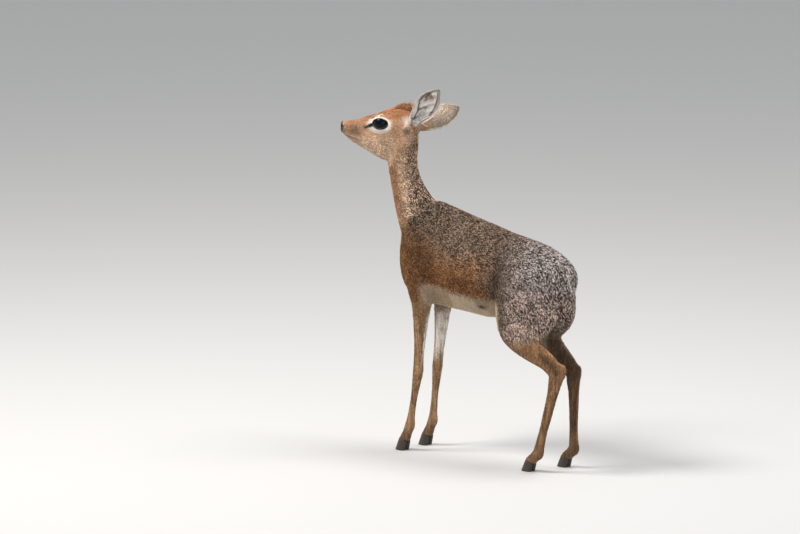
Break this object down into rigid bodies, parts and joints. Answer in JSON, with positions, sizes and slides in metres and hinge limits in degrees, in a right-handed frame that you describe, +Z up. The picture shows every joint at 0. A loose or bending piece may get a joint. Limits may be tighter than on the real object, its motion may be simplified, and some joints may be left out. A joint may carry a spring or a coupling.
{
  "type": "dik-dik model",
  "caption": "Life-size still model of a small antelope, hornless female, standing with its neck stretched up and its head turned, ears back.",
  "frame": {"origin": "middle of the bounding box's base, on the floor under the belly", "axes": "+X towards the chest, +Y to the animal's left, +Z up from the floor that the hooves stand on"},
  "size_m": [0.4434, 0.154, 0.5911],
  "materials": {
    "ear_left": "short dense hair, matt",
    "ear_right": "short dense hair, matt",
    "eye_left": "wet gloss, near black",
    "eye_right": "wet gloss, near black",
    "foreleg_left_cannon": "short dense hair, matt",
    "foreleg_left_foot": "short dense hair, matt",
    "foreleg_left_forearm": "short dense hair, matt",
    "foreleg_right_cannon": "short dense hair, matt",
    "foreleg_right_foot": "short dense hair, matt",
    "foreleg_right_forearm": "short dense hair, matt",
    "head": "short dense hair, matt",
    "hindleg_left_cannon": "short dense hair, matt",
    "hindleg_left_foot": "short dense hair, matt",
    "hindleg_left_thigh": "short dense hair, matt",
    "hindleg_right_cannon": "short dense hair, matt",
    "hindleg_right_foot": "short dense hair, matt",
    "hindleg_right_thigh": "short dense hair, matt",
    "hoof_fore_left_inner": "dull horn with growth lines",
    "hoof_fore_left_outer": "dull horn with growth lines",
    "hoof_fore_right_inner": "dull horn with growth lines",
    "hoof_fore_right_outer": "dull horn with growth lines",
    "hoof_hind_left_inner": "dull horn with growth lines",
    "hoof_hind_left_outer": "dull horn with growth lines",
    "hoof_hind_right_inner": "dull horn with growth lines",
    "hoof_hind_right_outer": "dull horn with growth lines",
    "neck": "short dense hair, matt",
    "nose": "bare moist skin, fine pebbled grain",
    "tail": "short dense hair, matt",
    "torso": "short dense hair, matt"
  },
  "bodies": {
    "root": {"ear_left": "ear_left", "ear_right": "ear_right", "eye_left": "eye_left", "eye_right": "eye_right", "foreleg_left_cannon": "foreleg_left_cannon", "foreleg_left_foot": "foreleg_left_foot", "foreleg_left_forearm": "foreleg_left_forearm", "foreleg_right_cannon": "foreleg_right_cannon", "foreleg_right_foot": "foreleg_right_foot", "foreleg_right_forearm": "foreleg_right_forearm", "head": "head", "hindleg_left_cannon": "hindleg_left_cannon", "hindleg_left_foot": "hindleg_left_foot", "hindleg_left_thigh": "hindleg_left_thigh", "hindleg_right_cannon": "hindleg_right_cannon", "hindleg_right_foot": "hindleg_right_foot", "hindleg_right_thigh": "hindleg_right_thigh", "hoof_fore_left_inner": "hoof_fore_left_inner", "hoof_fore_left_outer": "hoof_fore_left_outer", "hoof_fore_right_inner": "hoof_fore_right_inner", "hoof_fore_right_outer": "hoof_fore_right_outer", "hoof_hind_left_inner": "hoof_hind_left_inner", "hoof_hind_left_outer": "hoof_hind_left_outer", "hoof_hind_right_inner": "hoof_hind_right_inner", "hoof_hind_right_outer": "hoof_hind_right_outer", "neck": "neck", "nose": "nose", "tail": "tail", "torso": "torso"}
  },
  "joints": []
}
